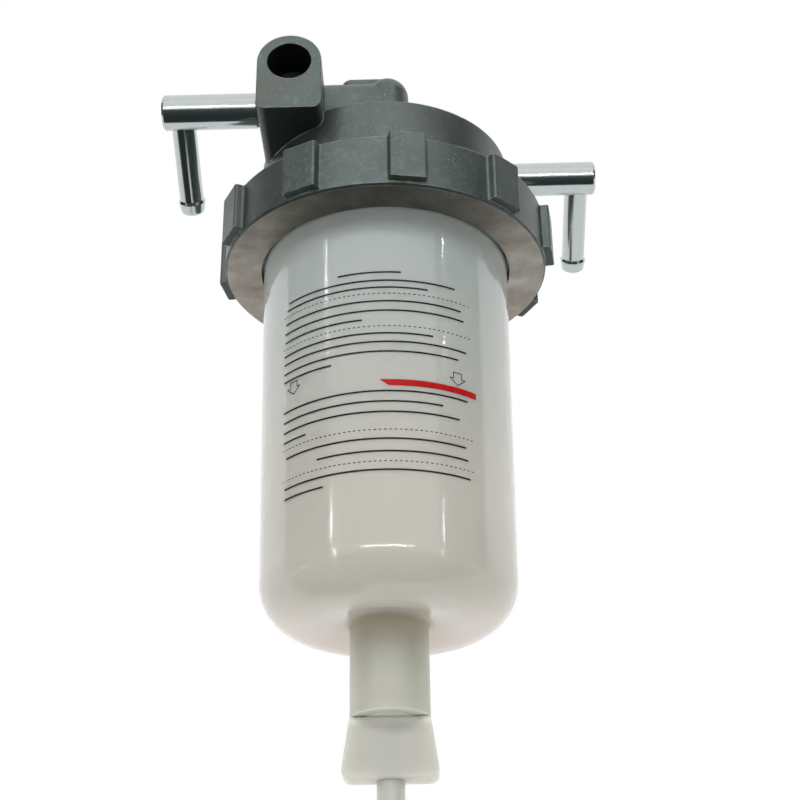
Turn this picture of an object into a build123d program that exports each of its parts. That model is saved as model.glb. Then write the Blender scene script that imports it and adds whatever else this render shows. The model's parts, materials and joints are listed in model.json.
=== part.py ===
from build123d import *
from math import atan, atan2, cos, radians, sin, tan
import os

# Fuel water separator: a die-cast head with a tapped mounting block and two hose
# connections, a moulded bowl held under it by a lugged ring nut, a float that rides
# on the settled water, a pleated element on a centre stem, and a winged drain plug.
# Millimetres, +Z up. The origin is the centre of the mounting hole's mouth. The hole
# runs into the block along +Y, and both hose connections are at the hole's height.

# Place of the bowl's axis from the mounting hole
axis_x = 25.3
axis_y = 40.6

# Mounting block
mount_hole_d = 12.4
mount_hole_depth = 12.5
drill_point_angle = 118.0
block_width = 18.0
block_length = 31.0
block_foot = 16.2
block_corner_r = 2.5
block_back_r = 2.0

# Head wall, threaded skirt and chamber
head_r = 36.2
head_top_z = -11.0
head_top_edge_r = 0.8
head_wall_t = 3.6
head_roof_t = 3.5
skirt_r = 41.3
skirt_flare_r = 3.0
stem_boss_r = 9.5
stem_boss_drop = 5.5

# Ring nut
nut_r = 46.0
nut_bottom_z = -46.4
nut_height = 15.4
nut_lip_t = 3.2
nut_edge_r = 0.6
thread_gap = 0.3
lug_count = 10
lug_width = 10.0
lug_reach = 2.3
lug_raise = 1.2
lug_corner_r = 0.7
first_lug_turn = 8.9

# Bowl
bowl_r = 34.9
bowl_foot_r = 33.4
bowl_wall_t = 2.5
bowl_length = 106.3
bowl_corner_r = 12.0
bowl_dish = 1.7
dish_land = 2.4
dish_blend_r = 20.0
bowl_flange_r = 40.6
bowl_flange_t = 3.4
flange_gap = 0.1
lip_gap = 0.7
skirt_gap = 0.2
neck_r = 10.15
neck_length = 23.0
neck_root_r = 1.0

# Seal between the bowl's flange and the head
bowl_seal_d = 2.4
bowl_seal_mid_r = 36.6
seal_play = 0.1

# Hose connections: bars pressed into the head, tails brazed into the bars
port_offset = 18.7
port_bore_d = 5.0
bar_d = 10.3
inlet_reach = 63.9
outlet_reach = 65.0
bar_edge = 0.6
spigot_d = 7.6
spigot_depth = 7.0
seat_play = 0.03
tail_inset = 5.5
tail_tilt = 60.0
tail_d = 7.1
tail_bore_d = 4.2
tail_length = 31.9
bead_d = 8.0
bead_to_tip = 3.8
bead_ramp = 0.8
tip_d = 6.9
tip_round_r = 1.2

# Galleries cast on top of the head
gallery_r = 6.9
dome_r = 6.1
dome_rise = 2.2
dome_shift = 1.5
dome_lead = 1.0
housing_left = 11.9
housing_right = 3.9
housing_front_lead = 2.6
housing_back = 9.0
housing_top_z = 9.6
housing_corner_r = 3.0
housing_edge_r = 2.0
port_boss_r = 6.3
port_collar_r = 5.0
port_collar_length = 1.6
outlet_web_w = 9.0

# Centre stem and filter element
stem_r = 5.0
stem_bore_d = 6.0
stem_top_z = -7.0
stem_length = 80.0
stem_window_w = 3.0
stem_window_h = 6.0
top_seal_r = 8.6
top_seal_t = 2.0
stem_play = 0.15
cap_r = 22.0
cap_t = 1.6
cap_rim_h = 4.0
cap_rim_t = 1.2
media_r = 20.5
media_root_r = 11.8
media_t = 0.4
pleat_count = 24
media_height = 36.0
core_r = 10.0
core_t = 0.8
core_rows = 3
core_columns = 4
core_window_w = 6.0
core_window_h = 8.0
part_play = 0.15

# Spring, washer and nut under the element
spring_mid_r = 7.4
spring_wire_d = 1.4
spring_turns = 4
spring_height = 13.0
washer_r = 9.2
washer_t = 1.5
stem_nut_flats = 14.0
stem_nut_t = 5.0

# Float
float_play = 1.4
float_hole_r = 14.0
float_height = 8.0
float_corner_r = 6.0
float_top_edge_r = 1.5
float_clearance = 0.3

# Drain plug and its seals
drain_bore_d = 14.2
drain_seat_d = 11.0
drain_seat_drop = 7.0
stem_thread_gap = 0.3
plug_nose_d = 10.4
plug_nose_rise = 4.0
plug_shoulder_gap = 1.0
plug_bore_d = 3.4
plug_port_d = 3.0
plug_gap = 0.2
wing_height = 15.2
wing_top_w = 20.2
wing_foot_w = 24.6
wing_t = 8.4
wing_corner_r = 2.2
wing_edge_r = 0.6
nipple_d = 7.0
nipple_length = 8.5
nipple_edge = 0.6
nose_seal_wire = 1.6
lower_seal_wire = 1.8
lower_seal_rise = 6.0
seal_room = 0.1

# Heights and places worked out from the values above
nut_top_z = nut_bottom_z + nut_height
lip_top_z = nut_bottom_z + nut_lip_t
flange_bottom_z = lip_top_z + flange_gap
flange_top_z = flange_bottom_z + bowl_flange_t
skirt_bottom_z = flange_top_z + skirt_gap
skirt_top_z = nut_top_z + skirt_gap
roof_z = head_top_z - head_roof_t
boss_bottom_z = roof_z - stem_boss_drop
chamber_r = head_r - head_wall_t
bowl_bottom_z = nut_bottom_z - bowl_length
bowl_floor_z = bowl_bottom_z + bowl_wall_t
dish_z = bowl_bottom_z + bowl_dish
drain_top_z = dish_z + bowl_wall_t
drain_seat_z = drain_top_z - drain_seat_drop
neck_bottom_z = bowl_bottom_z - neck_length
float_r = bowl_foot_r - bowl_wall_t - float_play
dish_r = bowl_foot_r - bowl_corner_r - dish_land
floor_slope = bowl_dish / (dish_r - neck_r)
dish_blend_limit = dish_land / tan(atan(floor_slope) / 2)
block_side_x = -block_width / 2
inlet_face_x = block_side_x - port_collar_length
inlet_y = axis_y - port_offset
outlet_y = axis_y + port_offset
outlet_face_x = 2 * axis_x - inlet_face_x
outlet_boss_x = 2 * axis_x - block_side_x

# The bowl's axis, flat planes on it and the half-section plane through it
bowl_axis = Axis((axis_x, axis_y, 0), (0, 0, 1))
section_plane = Plane(origin=(axis_x, axis_y, 0), x_dir=(1, 0, 0), z_dir=(0, -1, 0))


def level(z):
    """The flat plane at height z, centred on the bowl's axis."""
    return Plane(origin=(axis_x, axis_y, z))


def facing_right(x, y, z=0.0):
    """A plane square to X, whose first direction is Y and whose second is Z."""
    return Plane(origin=(x, y, z), x_dir=(0, 1, 0), z_dir=(1, 0, 0))


def ring_solid(inner_r, outer_r, bottom_z, top_z):
    """A plain ring on the bowl's axis."""
    with BuildPart() as ring:
        with BuildSketch(level(bottom_z)):
            Circle(outer_r)
            Circle(inner_r, mode=Mode.SUBTRACT)
        extrude(amount=top_z - bottom_z)
    return ring.part


def seal_ring(mid_r, wire_d, z):
    """A round-section rubber ring on the bowl's axis."""
    with BuildPart() as seal:
        with BuildSketch(section_plane):
            with Locations((mid_r, z)):
                Circle(wire_d / 2)
        revolve(axis=bowl_axis)
    return seal.part


def save(part, name):
    """Label a finished piece and write it."""
    part.label = name
    export_step(part, f"parts/{name}.step")


os.makedirs("parts", exist_ok=True)

# Head casting
seal_groove_w = bowl_seal_d + 2 * seal_play
seal_groove_depth = bowl_seal_d - skirt_gap + 2 * seal_play
dome_x = axis_x + dome_shift
inlet_seat_x = inlet_face_x + spigot_depth
outlet_seat_x = outlet_face_x - spigot_depth

with BuildPart() as head_casting:
    # Round head with its threaded skirt
    with BuildSketch(section_plane) as head_profile:
        with BuildLine():
            Polyline(
                (0, skirt_bottom_z),
                (skirt_r, skirt_bottom_z),
                (skirt_r, skirt_top_z),
                (head_r, skirt_top_z),
                (head_r, head_top_z),
                (0, head_top_z),
                close=True,
            )
        make_face()
        flare_corner = head_profile.vertices().sort_by_distance((head_r, skirt_top_z, 0))[0]
        fillet(flare_corner, radius=skirt_flare_r)
        rim_corner = head_profile.vertices().sort_by_distance((head_r, head_top_z, 0))[0]
        fillet(rim_corner, radius=head_top_edge_r)
    revolve(axis=bowl_axis)

    # Mounting block, arched over its hole and running back along the head's left side
    with BuildPart(mode=Mode.PRIVATE) as block:
        with BuildSketch(Plane.XZ) as block_profile:
            Circle(block_width / 2)
            with Locations((0, -block_foot / 2)):
                Rectangle(block_width, block_foot)
            foot_corners = block_profile.vertices().group_by(Axis.Y)[0]
            fillet(foot_corners, radius=block_corner_r)
        extrude(amount=-block_length)
        fillet(block.faces().sort_by(Axis.Y)[-1].edges(), radius=block_back_r)
    add(block.part)

    # Round port boss inside the block's side, and the collar that seats the inlet bar
    with BuildSketch(facing_right(block_side_x, inlet_y)):
        Circle(port_boss_r)
    extrude(amount=-block_side_x)
    with BuildSketch(facing_right(inlet_face_x, inlet_y)):
        Circle(port_collar_r)
    extrude(amount=block_side_x - inlet_face_x)

    # Inlet gallery with its domed end, standing on the head
    with BuildSketch(facing_right(0, inlet_y)):
        Circle(gallery_r)
        with Locations((0, head_top_z / 2)):
            Rectangle(2 * gallery_r, -head_top_z)
    extrude(amount=dome_x)
    with BuildSketch(Plane(origin=(dome_x, inlet_y - dome_lead, head_top_z))):
        Circle(dome_r)
    extrude(amount=dome_rise - head_top_z)
    with Locations((dome_x, inlet_y - dome_lead, dome_rise)):
        Sphere(dome_r)

    # Crossover housing between the inlet's dome and the outlet gallery
    with BuildPart(mode=Mode.PRIVATE) as housing:
        housing_front_y = inlet_y - housing_front_lead
        housing_back_y = axis_y + housing_back
        with BuildSketch(Plane.XY.offset(head_top_z - head_roof_t / 2)):
            with Locations(
                (axis_x + (housing_right - housing_left) / 2, (housing_front_y + housing_back_y) / 2)
            ):
                RectangleRounded(
                    housing_left + housing_right, housing_back_y - housing_front_y, housing_corner_r
                )
        extrude(amount=housing_top_z - head_top_z + head_roof_t / 2)
        fillet(housing.faces().sort_by(Axis.Z)[-1].edges(), radius=housing_edge_r)
    add(housing.part)

    # Outlet gallery: back from the stem, then out to the right, with a round knuckle at each turn
    with BuildSketch(Plane.XZ.offset(-axis_y)):
        with Locations((axis_x, 0)):
            Circle(gallery_r)
        with Locations((axis_x, head_top_z / 2)):
            Rectangle(2 * gallery_r, -head_top_z)
    extrude(amount=-port_offset)
    for turn_y in (axis_y, outlet_y):
        with BuildSketch(Plane(origin=(axis_x, turn_y, head_top_z))):
            Circle(gallery_r)
        extrude(amount=-head_top_z)
        with Locations((axis_x, turn_y, 0)):
            Sphere(gallery_r)
    with BuildSketch(facing_right(axis_x, outlet_y)):
        Circle(port_boss_r)
    extrude(amount=outlet_boss_x - axis_x)
    with BuildSketch(facing_right(outlet_boss_x, outlet_y)):
        Circle(port_collar_r)
    extrude(amount=outlet_face_x - outlet_boss_x)
    with BuildSketch(facing_right(axis_x, outlet_y)):
        with Locations((0, head_top_z / 2)):
            Rectangle(outlet_web_w, -head_top_z)
    extrude(amount=(chamber_r**2 - port_offset**2) ** 0.5)

    # Chamber under the roof, with the stem's boss left standing in it
    with BuildSketch(level(skirt_bottom_z)):
        Circle(chamber_r)
    extrude(amount=roof_z - skirt_bottom_z, mode=Mode.SUBTRACT)
    with BuildSketch(level(boss_bottom_z)):
        Circle(stem_boss_r)
    extrude(amount=roof_z - boss_bottom_z)

    # Groove for the bowl's seal, in the skirt's underside
    with BuildSketch(level(skirt_bottom_z)):
        Circle(bowl_seal_mid_r + seal_groove_w / 2)
        Circle(bowl_seal_mid_r - seal_groove_w / 2, mode=Mode.SUBTRACT)
    extrude(amount=seal_groove_depth, mode=Mode.SUBTRACT)

    # Tapped mounting hole, blind, with its drill point
    with BuildSketch(Plane.XZ):
        Circle(mount_hole_d / 2)
    extrude(amount=-mount_hole_depth, mode=Mode.SUBTRACT)
    point_depth = mount_hole_d / 2 / tan(radians(drill_point_angle / 2))
    with BuildSketch(Plane(origin=(0, mount_hole_depth, 0), x_dir=(1, 0, 0), z_dir=(0, 0, 1))):
        with BuildLine():
            Polyline((0, 0), (mount_hole_d / 2, 0), (0, point_depth), close=True)
        make_face()
    revolve(axis=Axis.Y, mode=Mode.SUBTRACT)

    # Inlet passage: seat for the bar's spigot, then the gallery, then down to the chamber
    with BuildSketch(facing_right(inlet_face_x, inlet_y)):
        Circle(spigot_d / 2 + seat_play)
    extrude(amount=inlet_seat_x - inlet_face_x, mode=Mode.SUBTRACT)
    with BuildSketch(facing_right(inlet_face_x, inlet_y)):
        Circle(port_bore_d / 2)
    extrude(amount=dome_x - inlet_face_x, mode=Mode.SUBTRACT)
    with BuildSketch(Plane(origin=(dome_x, inlet_y, roof_z - head_roof_t))):
        Circle(port_bore_d / 2)
    extrude(amount=head_roof_t - roof_z, mode=Mode.SUBTRACT)

    # Outlet passage: up from the stem, back, then right to the bar's spigot seat
    with BuildSketch(level(boss_bottom_z)):
        Circle(stem_r + seat_play)
    extrude(amount=stem_top_z - boss_bottom_z, mode=Mode.SUBTRACT)
    with BuildSketch(level(stem_top_z)):
        Circle(port_bore_d / 2)
    extrude(amount=-stem_top_z, mode=Mode.SUBTRACT)
    with BuildSketch(Plane.XZ.offset(-axis_y)):
        with Locations((axis_x, 0)):
            Circle(port_bore_d / 2)
    extrude(amount=-port_offset, mode=Mode.SUBTRACT)
    with BuildSketch(facing_right(axis_x, outlet_y)):
        Circle(port_bore_d / 2)
    extrude(amount=outlet_face_x - axis_x, mode=Mode.SUBTRACT)
    with BuildSketch(facing_right(outlet_seat_x, outlet_y)):
        Circle(spigot_d / 2 + seat_play)
    extrude(amount=outlet_face_x - outlet_seat_x, mode=Mode.SUBTRACT)
save(head_casting.part, "head_casting")

# Ring nut: a lugged ring with a lip under the bowl's flange
with BuildPart() as ring_nut:
    with BuildSketch(level(nut_bottom_z)):
        Circle(nut_r)
    extrude(amount=nut_height)
    with BuildSketch(level(nut_bottom_z + lug_raise)) as lug_profile:
        Circle(nut_r)
        with PolarLocations(nut_r, lug_count, start_angle=first_lug_turn - 90):
            Rectangle(2 * lug_reach, lug_width)
        fillet(lug_profile.vertices(), radius=lug_corner_r)
    extrude(amount=nut_height - lug_raise)
    chamfer(
        ring_nut.edges().filter_by_position(Axis.Z, nut_bottom_z - 0.1, nut_bottom_z + 0.1), length=nut_edge_r
    )
    with BuildSketch(level(nut_bottom_z)):
        Circle(bowl_r + lip_gap)
    extrude(amount=nut_lip_t, mode=Mode.SUBTRACT)
    with BuildSketch(level(lip_top_z)):
        Circle(skirt_r + thread_gap)
    extrude(amount=nut_height, mode=Mode.SUBTRACT)
save(ring_nut.part, "ring_nut")

# Bowl: a deep cup with a draft, a round foot, a dished floor, a rim flange and a drain neck
with BuildPart() as bowl:
    with BuildSketch(section_plane) as bowl_outside:
        with BuildLine():
            Polyline(
                (0, flange_top_z),
                (bowl_flange_r, flange_top_z),
                (bowl_flange_r, flange_bottom_z),
                (bowl_r, flange_bottom_z),
                (bowl_r, nut_bottom_z),
                (bowl_foot_r, bowl_bottom_z),
                (dish_r, bowl_bottom_z),
                (neck_r, dish_z),
                (0, dish_z),
                close=True,
            )
        make_face()
        foot_corner = bowl_outside.vertices().sort_by_distance((bowl_foot_r, bowl_bottom_z, 0))[0]
        fillet(foot_corner, radius=bowl_corner_r)
        dish_corner = bowl_outside.vertices().sort_by_distance((dish_r, bowl_bottom_z, 0))[0]
        fillet(dish_corner, radius=min(dish_blend_r, dish_blend_limit))
    revolve(axis=bowl_axis)
    with BuildSketch(level(dish_z)):
        Circle(neck_r)
    extrude(amount=neck_bottom_z - dish_z)
    root_edges = bowl.edges().filter_by_position(Axis.Z, dish_z - 0.05, dish_z + 0.05)
    fillet(root_edges, radius=neck_root_r)
    with BuildSketch(section_plane) as bowl_inside:
        with BuildLine():
            Polyline(
                (0, flange_top_z),
                (bowl_r - bowl_wall_t, flange_top_z),
                (bowl_r - bowl_wall_t, nut_bottom_z),
                (bowl_foot_r - bowl_wall_t, bowl_floor_z),
                (dish_r, bowl_floor_z),
                (neck_r, drain_top_z),
                (0, drain_top_z),
                close=True,
            )
        make_face()
        floor_corner = bowl_inside.vertices().sort_by_distance(
            (bowl_foot_r - bowl_wall_t, bowl_floor_z, 0)
        )[0]
        fillet(floor_corner, radius=bowl_corner_r - bowl_wall_t)
    revolve(axis=bowl_axis, mode=Mode.SUBTRACT)
    with BuildSketch(level(neck_bottom_z)):
        Circle(drain_bore_d / 2)
    extrude(amount=drain_seat_z - neck_bottom_z, mode=Mode.SUBTRACT)
    with BuildSketch(level(neck_bottom_z)):
        Circle(drain_seat_d / 2)
    extrude(amount=drain_top_z - neck_bottom_z, mode=Mode.SUBTRACT)
save(bowl.part, "bowl")

# Bowl seal, in the skirt's groove
bowl_seal = seal_ring(bowl_seal_mid_r, bowl_seal_d - seal_play, flange_top_z + (bowl_seal_d + seal_play) / 2)
save(bowl_seal, "bowl_seal")


tail_root = tail_bore_d / 2 + 0.2
bead_at = tail_length - bead_to_tip
tail_direction = (0, sin(radians(tail_tilt)), -cos(radians(tail_tilt)))


def tail_section(tail_x, port_y):
    """Half-section plane of a hose tail: first direction X, second along the tail."""
    return Plane(
        origin=(tail_x, port_y, 0),
        x_dir=(1, 0, 0),
        z_dir=(0, cos(radians(tail_tilt)), sin(radians(tail_tilt))),
    )


def tail_axis(tail_x, port_y):
    """The line that a hose tail runs along."""
    return Axis((tail_x, port_y, 0), tail_direction)


def hose_bar(face_x, end_x, port_y, side):
    """A bored bar from the collar at face_x to end_x, its spigot in the head. side is -1 or +1."""
    tail_x = end_x - side * tail_inset
    spigot_end_x = face_x - side * (spigot_depth - part_play)
    with BuildPart() as bar:
        with BuildSketch(facing_right(face_x, port_y)):
            Circle(bar_d / 2)
        extrude(amount=end_x - face_x)
        end_edges = bar.edges().filter_by(GeomType.CIRCLE)
        chamfer(end_edges, length=bar_edge)
        with BuildSketch(facing_right(face_x, port_y)):
            Circle(spigot_d / 2)
        extrude(amount=spigot_end_x - face_x)
        with BuildSketch(facing_right(spigot_end_x, port_y)):
            Circle(tail_bore_d / 2)
        extrude(amount=tail_x - spigot_end_x, mode=Mode.SUBTRACT)
        with BuildSketch(tail_section(tail_x, port_y)):
            with Locations((0, tail_root)):
                Rectangle(tail_d / 2 + seat_play, bar_d, align=(Align.MIN, Align.MIN))
        revolve(axis=tail_axis(tail_x, port_y), mode=Mode.SUBTRACT)
        with BuildSketch(tail_section(tail_x, port_y)):
            Rectangle(tail_bore_d / 2, bar_d, align=(Align.MIN, Align.MIN))
        revolve(axis=tail_axis(tail_x, port_y), mode=Mode.SUBTRACT)
    return bar.part


def hose_tail(tail_x, port_y):
    """A thin tube with a bead and a rounded tip, brazed into the bar's underside."""
    with BuildPart() as tail:
        with BuildSketch(tail_section(tail_x, port_y)) as tail_profile:
            with BuildLine():
                Polyline(
                    (tail_bore_d / 2, tail_root),
                    (tail_d / 2, tail_root),
                    (tail_d / 2, bead_at - bead_ramp),
                    (bead_d / 2, bead_at),
                    (tip_d / 2, tail_length),
                    (tail_bore_d / 2, tail_length),
                    close=True,
                )
            make_face()
            tip_corner = tail_profile.vertices().sort_by_distance((tip_d / 2, tail_length, 0))[0]
            fillet(tip_corner, radius=tip_round_r)
        revolve(axis=tail_axis(tail_x, port_y))
    return tail.part


inlet_end_x = axis_x - inlet_reach
outlet_end_x = axis_x + outlet_reach
save(hose_bar(inlet_face_x, inlet_end_x, inlet_y, -1), "inlet_bar")
save(hose_bar(outlet_face_x, outlet_end_x, outlet_y, 1), "outlet_bar")
save(hose_tail(inlet_end_x + tail_inset, inlet_y), "inlet_hose_tail")
save(hose_tail(outlet_end_x - tail_inset, outlet_y), "outlet_hose_tail")

# Centre stem: a bored rod screwed into the boss, with windows into the element's core
stem_bottom_z = stem_top_z - stem_length
element_top_z = boss_bottom_z - top_seal_t
media_top_z = element_top_z - cap_t
media_bottom_z = media_top_z - media_height
element_bottom_z = media_bottom_z - cap_t
window_z = (media_top_z + media_bottom_z) / 2
with BuildPart() as centre_stem:
    with BuildSketch(level(stem_bottom_z)):
        Circle(stem_r)
    extrude(amount=stem_length)
    chamfer(centre_stem.edges().group_by(Axis.Z)[0], length=nipple_edge)
    with BuildSketch(level(element_bottom_z)):
        Circle(stem_bore_d / 2)
    extrude(amount=stem_top_z - element_bottom_z, mode=Mode.SUBTRACT)
    with BuildSketch(Plane.XZ.offset(-axis_y)):
        with Locations((axis_x, window_z - stem_window_h), (axis_x, window_z + stem_window_h)):
            SlotOverall(stem_window_h, stem_window_w, rotation=90)
    extrude(amount=stem_r, both=True, mode=Mode.SUBTRACT)
save(centre_stem.part, "centre_stem")

# Element: rubber top seal, dished end caps, perforated core and pleated media
top_seal = ring_solid(stem_r + stem_play, top_seal_r, element_top_z, boss_bottom_z)
save(top_seal, "element_seal")


def end_cap(outer_z, inner_z):
    """A dished cap whose rim turns from outer_z towards the media."""
    rim_z = outer_z + (cap_rim_h if inner_z > outer_z else -cap_rim_h)
    with BuildPart() as cap:
        with BuildSketch(section_plane):
            with BuildLine():
                Polyline(
                    (stem_r + stem_play, outer_z),
                    (cap_r, outer_z),
                    (cap_r, rim_z),
                    (cap_r - cap_rim_t, rim_z),
                    (cap_r - cap_rim_t, inner_z),
                    (stem_r + stem_play, inner_z),
                    close=True,
                )
            make_face()
        revolve(axis=bowl_axis)
    return cap.part


save(end_cap(element_top_z, media_top_z), "element_top_cap")
save(end_cap(element_bottom_z, media_bottom_z), "element_bottom_cap")

with BuildPart() as element_core:
    with BuildSketch(level(media_bottom_z)):
        Circle(core_r)
        Circle(core_r - core_t, mode=Mode.SUBTRACT)
    extrude(amount=media_height)
    row_pitch = media_height / core_rows
    for row in range(core_rows):
        row_z = media_bottom_z + row_pitch * (row + 0.5)
        with BuildSketch(level(row_z - core_window_h / 2)):
            with PolarLocations(core_r, core_columns, start_angle=row * 180 / core_columns):
                Rectangle(4 * core_t, core_window_w)
        extrude(amount=core_window_h, mode=Mode.SUBTRACT)
save(element_core.part, "element_core")


def star_points(tip_r, root_r):
    """Corners of the pleated outline, tips and roots in turn."""
    points = []
    for corner in range(2 * pleat_count):
        turn = radians(180 * corner / pleat_count)
        reach = tip_r if corner % 2 == 0 else root_r
        points.append((reach * cos(turn), reach * sin(turn)))
    return points


half_pleat = radians(180 / pleat_count)
flank_lean = atan2(media_root_r * sin(half_pleat), media_r - media_root_r * cos(half_pleat))
inner_tip_r = media_r - media_t / sin(flank_lean)
inner_root_r = media_root_r - media_t / sin(flank_lean + half_pleat)
with BuildPart() as element_media:
    with BuildSketch(level(media_bottom_z)):
        with BuildLine():
            Polyline(*star_points(media_r, media_root_r), close=True)
        make_face()
        with BuildLine():
            Polyline(*star_points(inner_tip_r, inner_root_r), close=True)
        make_face(mode=Mode.SUBTRACT)
    extrude(amount=media_height)
save(element_media.part, "element_media")

# Spring that holds the element up, its washer and its nut
spring_top_z = element_bottom_z
washer_top_z = spring_top_z - spring_height
spring_rise = spring_height - spring_wire_d - 2 * part_play
with BuildPart() as element_spring:
    with BuildLine():
        coil = Helix(
            pitch=spring_rise / spring_turns,
            height=spring_rise,
            radius=spring_mid_r,
            center=(axis_x, axis_y, washer_top_z + part_play + spring_wire_d / 2),
        )
    with BuildSketch(Plane(origin=coil @ 0, z_dir=coil % 0)):
        Circle(spring_wire_d / 2)
    sweep()
save(element_spring.part, "element_spring")

spring_washer = ring_solid(stem_r + stem_play, washer_r, washer_top_z - washer_t, washer_top_z)
save(spring_washer, "spring_washer")

with BuildPart() as stem_nut:
    with BuildSketch(level(washer_top_z - washer_t - stem_nut_t)):
        RegularPolygon(stem_nut_flats / 2, 6, major_radius=False)
        Circle(stem_r + seat_play, mode=Mode.SUBTRACT)
    extrude(amount=stem_nut_t)
save(stem_nut.part, "stem_nut")

# Float: a ring whose hole's edge lies on the floor's slope until water lifts it
float_bottom_z = bowl_floor_z + floor_slope * (dish_r - float_hole_r) + float_clearance
with BuildPart() as float_ring:
    with BuildSketch(level(float_bottom_z)):
        Circle(float_r)
        Circle(float_hole_r, mode=Mode.SUBTRACT)
    extrude(amount=float_height)
    outer_edges = float_ring.edges().filter_by(GeomType.CIRCLE).sort_by(lambda edge: edge.radius)[-2:]
    fillet(outer_edges.sort_by(Axis.Z)[0], radius=float_corner_r)
    top_edges = float_ring.edges().filter_by(GeomType.CIRCLE).group_by(Axis.Z)[-1]
    fillet(top_edges, radius=float_top_edge_r)
save(float_ring.part, "float_ring")

# Drain plug: threaded stem with a sealed nose, two wings and a hose nipple
wing_top_z = neck_bottom_z - plug_gap
wing_bottom_z = wing_top_z - wing_height
nipple_tip_z = wing_bottom_z - nipple_length
plug_stem_r = drain_bore_d / 2 - stem_thread_gap
plug_shoulder_z = drain_seat_z - plug_shoulder_gap
plug_nose_z = drain_seat_z + plug_nose_rise
nose_seal_z = drain_seat_z + plug_nose_rise / 2
lower_seal_z = neck_bottom_z + lower_seal_rise
nose_seal_mid_r = drain_seat_d / 2 - seal_room - nose_seal_wire / 2
lower_seal_mid_r = drain_bore_d / 2 - seal_room - lower_seal_wire / 2
with BuildPart() as drain_plug:
    with BuildSketch(section_plane):
        with BuildLine():
            Polyline(
                (0, plug_nose_z),
                (plug_nose_d / 2, plug_nose_z),
                (plug_nose_d / 2, plug_shoulder_z),
                (plug_stem_r, plug_shoulder_z),
                (plug_stem_r, wing_top_z),
                (0, wing_top_z),
                close=True,
            )
        make_face()
    revolve(axis=bowl_axis)
    with BuildPart(mode=Mode.PRIVATE) as wings:
        with BuildSketch(section_plane) as wing_profile:
            with BuildLine():
                Polyline(
                    (-wing_top_w / 2, wing_top_z),
                    (wing_top_w / 2, wing_top_z),
                    (wing_foot_w / 2, wing_bottom_z),
                    (-wing_foot_w / 2, wing_bottom_z),
                    close=True,
                )
            make_face()
            wing_corners = wing_profile.vertices().group_by(Axis.Y)[0]
            fillet(wing_corners, radius=wing_corner_r)
        extrude(amount=wing_t / 2, both=True)
        fillet(wings.faces().sort_by(Axis.Y)[0].edges(), radius=wing_edge_r)
        fillet(wings.faces().sort_by(Axis.Y)[-1].edges(), radius=wing_edge_r)
    add(wings.part)
    with BuildSketch(level(wing_bottom_z + wing_corner_r)):
        Circle(nipple_d / 2)
    extrude(amount=nipple_tip_z - wing_bottom_z - wing_corner_r)
    chamfer(drain_plug.edges().group_by(Axis.Z)[0], length=nipple_edge)
    with BuildSketch(level(nipple_tip_z)):
        Circle(plug_bore_d / 2)
    extrude(amount=plug_shoulder_z - nipple_tip_z, mode=Mode.SUBTRACT)
    with BuildSketch(Plane.XZ.offset(-axis_y)):
        with Locations((axis_x, plug_shoulder_z - plug_port_d)):
            Circle(plug_port_d / 2)
    extrude(amount=plug_stem_r, both=True, mode=Mode.SUBTRACT)
    for seal_mid_r, wire_d, seal_z in (
        (nose_seal_mid_r, nose_seal_wire, nose_seal_z),
        (lower_seal_mid_r, lower_seal_wire, lower_seal_z),
    ):
        groove_floor_r = seal_mid_r - wire_d / 2 - seal_room
        with BuildSketch(level(seal_z - wire_d / 2 - seal_room)):
            Circle(drain_bore_d)
            Circle(groove_floor_r, mode=Mode.SUBTRACT)
        extrude(amount=wire_d + 2 * seal_room, mode=Mode.SUBTRACT)
save(drain_plug.part, "drain_plug")
save(seal_ring(nose_seal_mid_r, nose_seal_wire, nose_seal_z), "drain_nose_seal")
save(seal_ring(lower_seal_mid_r, lower_seal_wire, lower_seal_z), "drain_stem_seal")
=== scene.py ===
import bpy
import json
from math import cos, radians, sin
from mathutils import Matrix, Vector


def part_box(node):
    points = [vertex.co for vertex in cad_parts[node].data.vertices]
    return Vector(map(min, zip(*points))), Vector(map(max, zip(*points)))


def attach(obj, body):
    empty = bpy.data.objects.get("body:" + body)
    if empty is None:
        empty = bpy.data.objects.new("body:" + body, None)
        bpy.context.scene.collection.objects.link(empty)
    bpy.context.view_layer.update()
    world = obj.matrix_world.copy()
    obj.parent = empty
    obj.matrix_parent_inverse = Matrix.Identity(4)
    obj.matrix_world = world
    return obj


# Metres, in the model's frame: the origin is the mounting hole's mouth, +Z is up and
# the photograph looks along +Y from below. A turn is an angle about the bowl's axis, in
# degrees from the front towards +X.

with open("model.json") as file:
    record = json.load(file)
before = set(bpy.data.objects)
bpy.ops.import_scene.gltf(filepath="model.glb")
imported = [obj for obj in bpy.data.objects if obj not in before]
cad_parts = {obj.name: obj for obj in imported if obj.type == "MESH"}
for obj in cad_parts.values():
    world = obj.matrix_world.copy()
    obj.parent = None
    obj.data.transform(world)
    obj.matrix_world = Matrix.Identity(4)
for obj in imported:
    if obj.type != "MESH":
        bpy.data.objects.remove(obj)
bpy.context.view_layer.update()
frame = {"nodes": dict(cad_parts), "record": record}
nodes = frame["nodes"]
scene = bpy.context.scene

# Places read from the CAD
nut_low, nut_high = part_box("ring_nut")
AXIS_X = (nut_low.x + nut_high.x) / 2
AXIS_Y = (nut_low.y + nut_high.y) / 2
BOWL_AXIS = (AXIS_X, AXIS_Y, 0.0)
NUT_BOTTOM_Z = nut_low.z
NECK_END_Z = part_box("bowl")[0].z

# Bowl's wall and neck, and the plug's wing
BOWL_TOP_R = 0.0349
BOWL_FOOT_R = 0.0334
BOWL_BOTTOM_Z = -0.1527
NECK_R = 0.01015
NECK_ROOT_Z = -0.1500
WING_TOP_Z = -0.1759

# Mounting hole
HOLE_R = 0.0062
HOLE_END_Y = 0.018

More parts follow.
